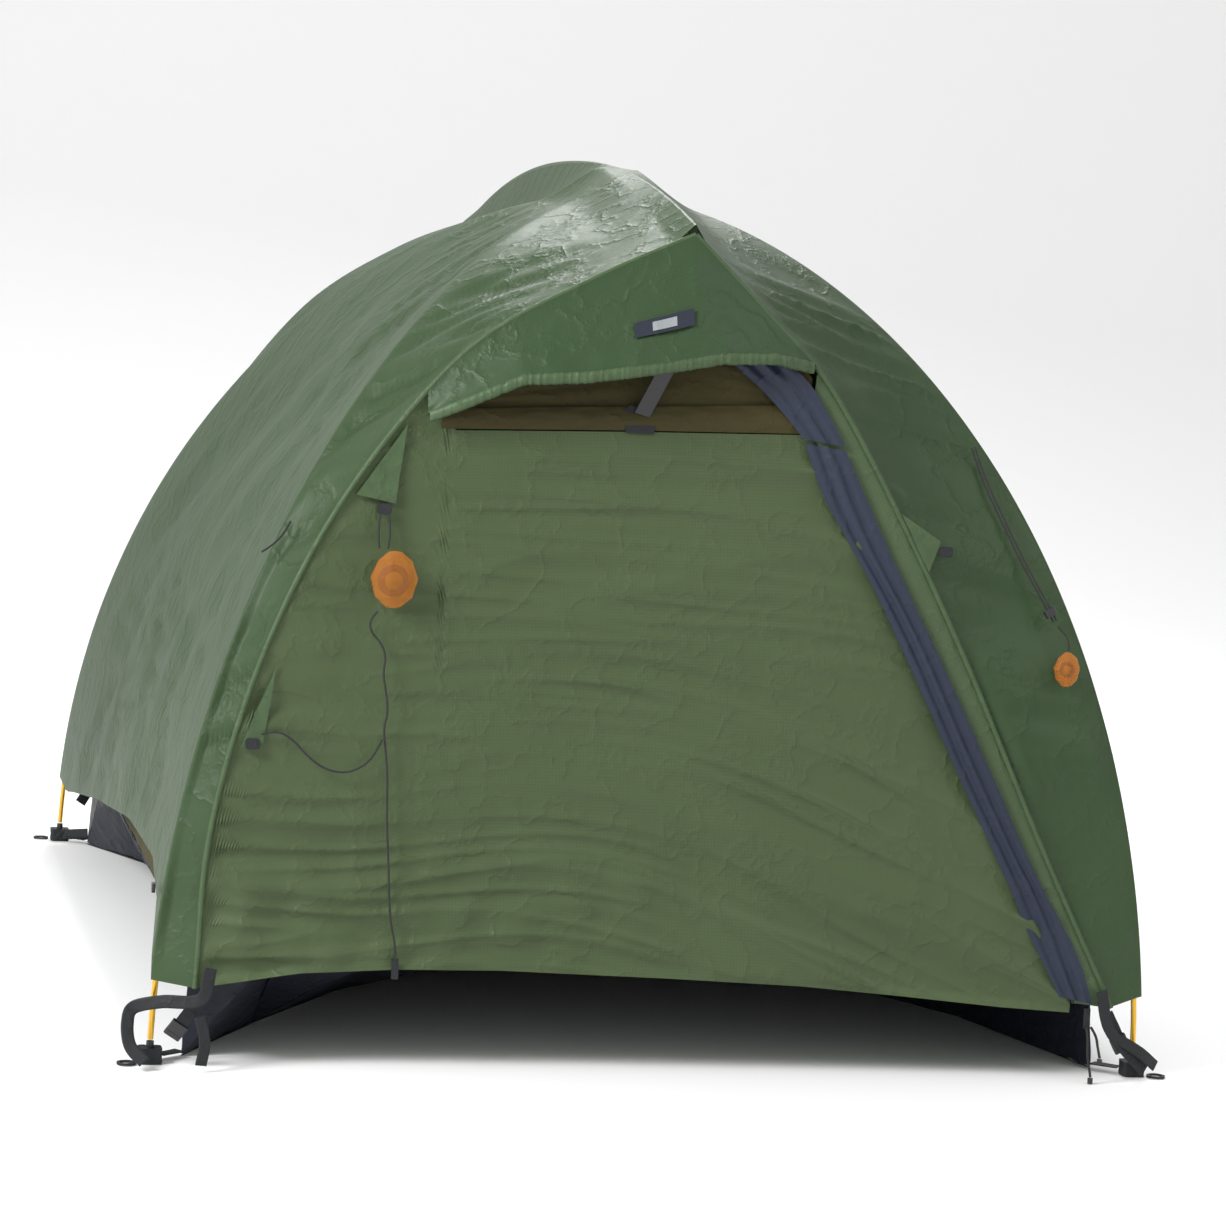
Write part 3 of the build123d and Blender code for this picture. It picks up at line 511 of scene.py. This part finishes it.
# ------------------------------------------------------------ rear panel
REAR_STEPS = 90
rear_rows = []
for i in range(REAR_STEPS + 1):
    x, z = along(ARCH_REAR, i / REAR_STEPS)
    line = []
    for j in range(REAR_STEPS + 1):
        across = x * (1 - 2 * j / REAR_STEPS)
        ripple = 0.004 * wave(across * 6, z * 14, 9) * math.sin(math.pi * j / REAR_STEPS)
        line.append(Vector((across, -front_y(z) + 0.003 + ripple, z)))
    rear_rows.append(line)
rear = grid("rear_sheet", rear_rows, FLY)
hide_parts("fly_rear_panel")


# ------------------------------------------------------------ storm flap
FLAP_ACROSS = 24


def flap_rows(left, right, count, seed):
    rows = []
    for i in range(count + 1):
        a, b = along(left, i / count), along(right, i / count)
        line = []
        for j in range(FLAP_ACROSS + 1):
            share = j / FLAP_ACROSS
            x, z = lerp(a, b, share)
            fold = 0.0032 * math.sin(share * math.pi * 5 + 2.2 * wave(z * 4, seed))
            fold *= math.sin(math.pi * j / FLAP_ACROSS)
            line.append(on_front(x, z, 0.0115 + fold + 0.0012 * crease(x * 20, z * 20, seed)))
        rows.append(line)
    return rows


flap = grid("storm_flap_sheet", flap_rows(FLAP_LEFT, FLAP_RIGHT, 160, 5), NAVY, body="door")
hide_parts("storm_flap")
flap_top = grid("storm_flap_top_sheet",
                flap_rows(FLAP_TOP_LEFT, FLAP_TOP_RIGHT, 40, 6), NAVY)
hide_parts("storm_flap_top")


# ------------------------------------------------------------ vent: mesh, band, hood, gathered hem, label
def hood_point(x, w, out=0.0):
    top = height_at(LEFT_TOP, x) if x <= 0 else height_at(RIGHT_TOP, x)
    low = height_at(HOOD_HEM, x)
    z = top + (low - top) * w
    reach = max(0.0, math.sin(math.pi * min(1.0, max(0.0, (x - HOOD_HEM[0][0]) / HOOD_SPAN)))) ** 0.6
    return Vector((x, front_y(z, 0.008 + out + HOOD_PUSH * reach * max(0.0, w) ** 1.4), z))


HOOD_ALONG, HOOD_DOWN = 130, 60
hood_rows = []
for i in range(HOOD_ALONG + 1):
    x = -0.384 + 0.570 * i / HOOD_ALONG
    line = []
    for j in range(HOOD_DOWN + 1):
        w = j / HOOD_DOWN
        fold = 0.0035 * crease(x * 15 + w * 1.5, w * 1.5, 8) * w + 0.002 * wave(x * 30, w * 4, 3) * w
        line.append(hood_point(x, w, fold))
    hood_rows.append(line)
hood = grid("hood_sheet", hood_rows, HOOD)
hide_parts("hood")

HEM_ALONG, HEM_ROUND = 380, 9
hem_rows = []
for i in range(HEM_ALONG + 1):
    x = -0.382 + 0.566 * i / HEM_ALONG
    edge = hood_point(x, 1.0)
    gather = 0.0016 * crease(x * 90, 0, 2) + 0.0008 * wave(x * 260, 3)
    line = []
    for k in range(HEM_ROUND + 1):
        a = math.pi * (k / HEM_ROUND)
        line.append(edge + Vector((0, -(0.0045 + gather) * math.sin(a),
                                   -0.006 + (0.0075 + gather) * math.cos(a))))
    hem_rows.append(line)
hem = grid("hood_hem_band", hem_rows, HEM)
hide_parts("hood_hem")


def label_rows(left, width, count, shares, out):
    """Rows of a plain patch that lies on the hood."""
    return [[hood_point(left + width * k / count, w, out) for w in shares] for k in range(count + 1)]


label = grid("label_patch", label_rows(-0.094, 0.088, 12, (0.58, 0.62, 0.67, 0.72), 0.0065), LABEL_DARK)
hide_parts("label")
grid("label_centre", label_rows(-0.068, 0.036, 8, (0.61, 0.65, 0.69), 0.0075), LABEL_LIGHT)

MESH_ALONG, MESH_UP = 120, 40
mesh_rows = []
for i in range(MESH_ALONG + 1):
    x = -0.360 + 0.544 * i / MESH_ALONG
    low = height_at(MESH_LOW, x)
    high = max(low + 0.01, height_at(LEFT_TOP if x <= 0 else RIGHT_TOP, x) - 0.02)
    mesh_rows.append([on_front(x, low + (high - low) * j / MESH_UP, -0.001 + 0.003 * wave(x * 9, j * 0.3, 5))
                      for j in range(MESH_UP + 1)])
# the vent mesh colour holds painted shade from the hood
vent = grid("vent_mesh_sheet", mesh_rows, MESH)
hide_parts("vent_mesh")

BAND_ALONG, BAND_UP = 160, 12
band_rows = []
for i in range(BAND_ALONG + 1):
    x = FOLD_X + 0.546 * i / BAND_ALONG
    low, high = height_at(BAND_LOW, x), height_at(BAND_TOP, x)
    line = []
    for j in range(BAND_UP + 1):
        out = 0.004 + 0.004 * math.sin(math.pi * j / BAND_UP) + 0.0015 * wave(x * 30, j * 0.4, 8)
        line.append(on_front(x, low + (high - low) * j / BAND_UP, out))
    band_rows.append(line)
# the band colour holds painted shade from the hood, as the vent mesh does
band = grid("vent_band_sheet", band_rows, MESH)
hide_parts("vent_band")

# arch seams: bound edges of the fly
for name, arch in (("arch_seam_left", ARCH_LEFT), ("arch_seam_right", ARCH_RIGHT)):
    tube(name, [on_front(*along(arch, k / 30), 0.004) for k in range(31)], 0.0042, HEM)

# ------------------------------------------------------------ soft pieces from the CAD solids
for name, mat, cell, size, scale, slot in (
        ("inner_canopy", INNER, 0.045, 0.003, 7, "mesh_brown"),
        ("bathtub_walls", TUB_NAVY_AND_SHADE, 0.014, 0.004, 16, "tub_navy"),
        ("groundsheet", FLOOR, 0.040, 0.001, 9, "groundsheet"),
        ("inner_door_roll", INNER, 0.012, 0.005, 22, "mesh_brown"),
        ("floor_straps", WEB, 0.006, 0.0008, 30, "webbing_black"),
        ("fly_straps", WEB, 0.006, 0.0008, 30, "webbing_black"),
        ("pole_pockets", WEB, 0.004, 0.0012, 60, "webbing_black"),
        ("peg_loops", WEB, 0.004, 0.0005, 60, "webbing_black"),
        ("guy_tabs", HEM, 0.008, 0.0010, 30, "fly_green"),
        ("guy_tab_tips", WEB, 0.004, 0.0006, 80, "webbing_black"),
        ("hem_tab", WEB, 0.004, 0.0006, 80, "webbing_black"),
        ("strut_patch", WEB, 0.006, 0.0006, 60, "webbing_black")):
    crumpled(name, mat, cell, size, scale)

POUCH_SIDES = 7
for name, centre, half_x, half_y, half_z in (("pouch_left", on_front(-.425, .710, .024), .035, .019, .041),
                                             ("pouch_right", Vector((.596, -.984, .612)), .020, .015, .026)):
    rings = []
    for level, width in ((-1.0, .10), (-.94, .34), (-.62, .80), (.05, 1.0),
                         (.66, .72), (.96, .30), (1.0, .10)):
        rings.append([centre + Vector((half_x * width * math.cos(a) * (1 + .08 * wave(a * 2, level * 3)),
                                       half_y * width * math.sin(a), half_z * level))
                      for a in [2 * math.pi * k / POUCH_SIDES for k in range(POUCH_SIDES + 1)]])
    bag = grid(name + "_bag", rings, ORANGE)
    bag.data.polygons.foreach_set("use_smooth", [False] * len(bag.data.polygons))
    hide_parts(name)


# ------------------------------------------------------------ webbing bands looped at the corners
def ribbon(name, route, width):
    rows = []
    count = 14 * (len(route) - 1)
    for i in range(count + 1):
        t = i / count
        here, ahead_of = Vector(along(route, t)), Vector(along(route, min(1, t + 0.01)))
        back = Vector(along(route, max(0, t - 0.01)))
        run = (ahead_of - back).normalized()
        side = run.cross(Vector((0.25, -1, 0.2))).normalized()
        rows.append([here + side * width * (j / 6 - 0.5) + Vector((0, 0.0008 * wave(t * 9, j), 0))
                     for j in range(7)])
    obj = grid(name, rows, WEB)
    obj.modifiers.new("thickness", "SOLIDIFY").thickness = 0.0016
    return obj


ribbon("band_front_left", [(-.664, -1.046, .150), (-.676, -1.046, .105), (-.730, -1.030, .098),
                           (-.768, -1.012, .085), (-.776, -1.016, .062),
                           (-.772, -1.036, .034), (-.752, -1.047, .014)], .019)
ribbon("tail_front_left", [(-.676, -1.047, .080), (-.668, -1.049, .045), (-.672, -1.049, .010)], .017)
ribbon("band_front_right", [(.664, -1.046, .140), (.676, -1.046, .090), (.705, -1.036, .055),
                            (.752, -1.010, .012)], .019)
ribbon("tail_front_right", [(.690, -1.040, .070), (.735, -1.030, .045), (.768, -1.012, .020)], .017)
ribbon("band_back_left", [(-.690, .944, .020), (-.715, .958, .016), (-.738, .972, .012)], .019)


# ------------------------------------------------------------ cords, the same routes as the CAD tubes
def front_route(points):
    return [Vector((x, front_y(z, out), z)) for x, z, out in points]


RIGHT_GUY = [(.458, -.881, .929), (.470, -.893, .890), (.486, -.909, .852), (.503, -.924, .816),
             (.521, -.937, .778), (.541, -.948, .742), (.561, -.957, .708), (.577, -.964, .680)]
for name, route, thick, length, far in (
        ("guyline_left_strand_a", front_route([
            (-.446, .802, .011), (-.450, .778, .015), (-.447, .755, .019)]),
         .003, .050, "object"),
        ("guyline_left_strand_b", front_route([
            (-.434, .802, .011), (-.430, .778, .015), (-.434, .755, .019)]),
         .003, .050, "object"),
        ("guyline_left_lower", front_route([
            (-.446, .665, .020), (-.457, .652, .017), (-.453, .634, .015), (-.439, .621, .015),
            (-.430, .601, .016), (-.434, .576, .015), (-.428, .549, .016), (-.424, .521, .015),
            (-.430, .497, .015), (-.425, .465, .015), (-.421, .428, .014), (-.420, .388, .014),
            (-.418, .344, .014), (-.414, .300, .014), (-.412, .258, .014), (-.408, .220, .013),
            (-.400, .190, .011), (-.398, .170, .009)]), .003, .509, "object"),
        ("guyline_left_branch", front_route([
            (-.604, .484, .012), (-.582, .491, .014), (-.558, .477, .014), (-.536, .453, .014),
            (-.508, .435, .014), (-.478, .432, .014), (-.452, .446, .015), (-.438, .466, .016),
            (-.432, .482, .020)]), .003, .215, "object"),
        ("pull_long", front_route([
            (.644, .084, .012), (.648, .068, .012), (.647, .046, .012), (.651, .026, .012),
            (.654, .010, .012)]), .004, .075, "object"),
        ("pull_short", front_route([
            (.652, .084, .010), (.661, .072, .010), (.664, .054, .010), (.668, .038, .010)]),
         .004, .050, "object"),
        ("guyline_right_a", [Vector(p) for p in RIGHT_GUY], .003, .289, "object"),
        ("guyline_right_b", [Vector(p) + Vector((.00468, .00052, .00234)) for p in RIGHT_GUY],
         .003, .289, "object"),
        ("guyline_right_tail", [Vector(p) for p in (
            (.583, -.966, .674), (.594, -.969, .664), (.600, -.975, .652),
             (.598, -.980, .641))], .003, .042, "bare"),
        ("panel_loop", [Vector(p) for p in (
            (-.567, -.931, .783), (-.574, -.936, .770), (-.584, -.940, .757), (-.596, -.942, .746),
            (-.608, -.942, .738))], .003, .063, "object")):
    line = tube(name + "_cord", route, thick / 2, CORD)
    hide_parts(name)

# ------------------------------------------------------------ carried-over CAD nodes
for mat, names in ((GOLD, ("pole_a_sections", "pole_b_sections", "ridge_pole_sections")),
                   (SILVER, ("pole_a_ferrules", "pole_b_ferrules", "ridge_pole_ferrules")),
                   (PLASTIC, ("pole_tips", "crossing_hub", "brow_cups", "buckle_sockets", "buckle_plug_left",
                              "buckle_plug_right", "guyline_runner", "zip_slider", "side_hooks",
                              "inner_hooks", "vent_strut", "pull_toggles")),
                   (CORD, ("shock_cords", "pouch_coils")), (COIL, ("zip_coil",)), (TAPE, ("zip_tape",))):
    for name in names:
        NODES[name].data.materials.clear()
        NODES[name].data.materials.append(mat)

# ------------------------------------------------------------ studio
FLOOR_Z, FLOOR_FRONT, FLOOR_BACK = -0.0006, -8, 4.5
COVE_RADIUS, WALL_STEP = 3.5, 0.4
FLAT_STEPS, COVE_STEPS, WALL_STEPS = 20, 24, 16
studio_rows = []
for k in range(FLAT_STEPS + COVE_STEPS + WALL_STEPS + 1):
    if k < FLAT_STEPS:
        y, z = FLOOR_FRONT + (FLOOR_BACK - FLOOR_FRONT) * k / FLAT_STEPS, FLOOR_Z
    else:
        a = math.radians(90 * min(1, (k - FLAT_STEPS) / COVE_STEPS))
        y = FLOOR_BACK + COVE_RADIUS * math.sin(a)
        rise = max(0, k - FLAT_STEPS - COVE_STEPS) * WALL_STEP
        z = COVE_RADIUS - COVE_RADIUS * math.cos(a) + FLOOR_Z + rise
    studio_rows.append([(x, y, z) for x in (-14, -7, 0, 7, 14)])
m, tree = material("studio")
bsdf = node(tree, "ShaderNodeBsdfPrincipled")
bsdf.inputs["Base Color"].default_value = (.90, .90, .90, 1)
bsdf.inputs["Roughness"].default_value = 0.9
tree.links.new(bsdf.outputs[0], node(tree, "ShaderNodeOutputMaterial").inputs[0])
grid("studio_floor", studio_rows, m, body=None)

world = bpy.data.worlds.new("studio_world")
bpy.context.scene.world = world
world.use_nodes = True
world.node_tree.nodes["Background"].inputs[0].default_value = (1, 1, 1, 1)
world.node_tree.nodes["Background"].inputs[1].default_value = 0.72
for place, energy, size in (((-4.2, -3.0, 3.6), 330, 1.6), ((3.5, -3.5, 4.0), 60, 3.0),
                            ((0.6, 3.2, 4.4), 190, 2.0)):
    lamp = bpy.data.lights.new("soft", "AREA")
    lamp.energy = energy
    lamp.size = size
    obj = bpy.data.objects.new("soft", lamp)
    obj.location = place
    obj.rotation_euler = (Vector((0, 0, 0.6)) - Vector(place)).to_track_quat("-Z", "Y").to_euler()
    bpy.context.scene.collection.objects.link(obj)
bpy.context.scene.view_settings.view_transform = "Standard"

CAMERA_PLACE, LENS = (-1.2985, -6.7692, 1.2604), 120.1
YAW, PITCH, ROLL = 0.2047, 0.0992, 0.0565
ahead = Vector((math.sin(YAW) * math.cos(PITCH), math.cos(YAW) * math.cos(PITCH), -math.sin(PITCH)))
right = Vector((math.cos(YAW), -math.sin(YAW), 0))
above = right.cross(ahead)
turned_right = right * math.cos(ROLL) + above * math.sin(ROLL)
turned_up = above * math.cos(ROLL) - right * math.sin(ROLL)
camera = bpy.data.objects.new("camera", bpy.data.cameras.new("camera"))
camera.data.lens = LENS
camera.data.sensor_width = 36
camera.matrix_world = Matrix.Translation(CAMERA_PLACE) @ Matrix(
    (turned_right, turned_up, -ahead)).transposed().to_4x4()
bpy.context.scene.collection.objects.link(camera)
bpy.context.scene.camera = camera
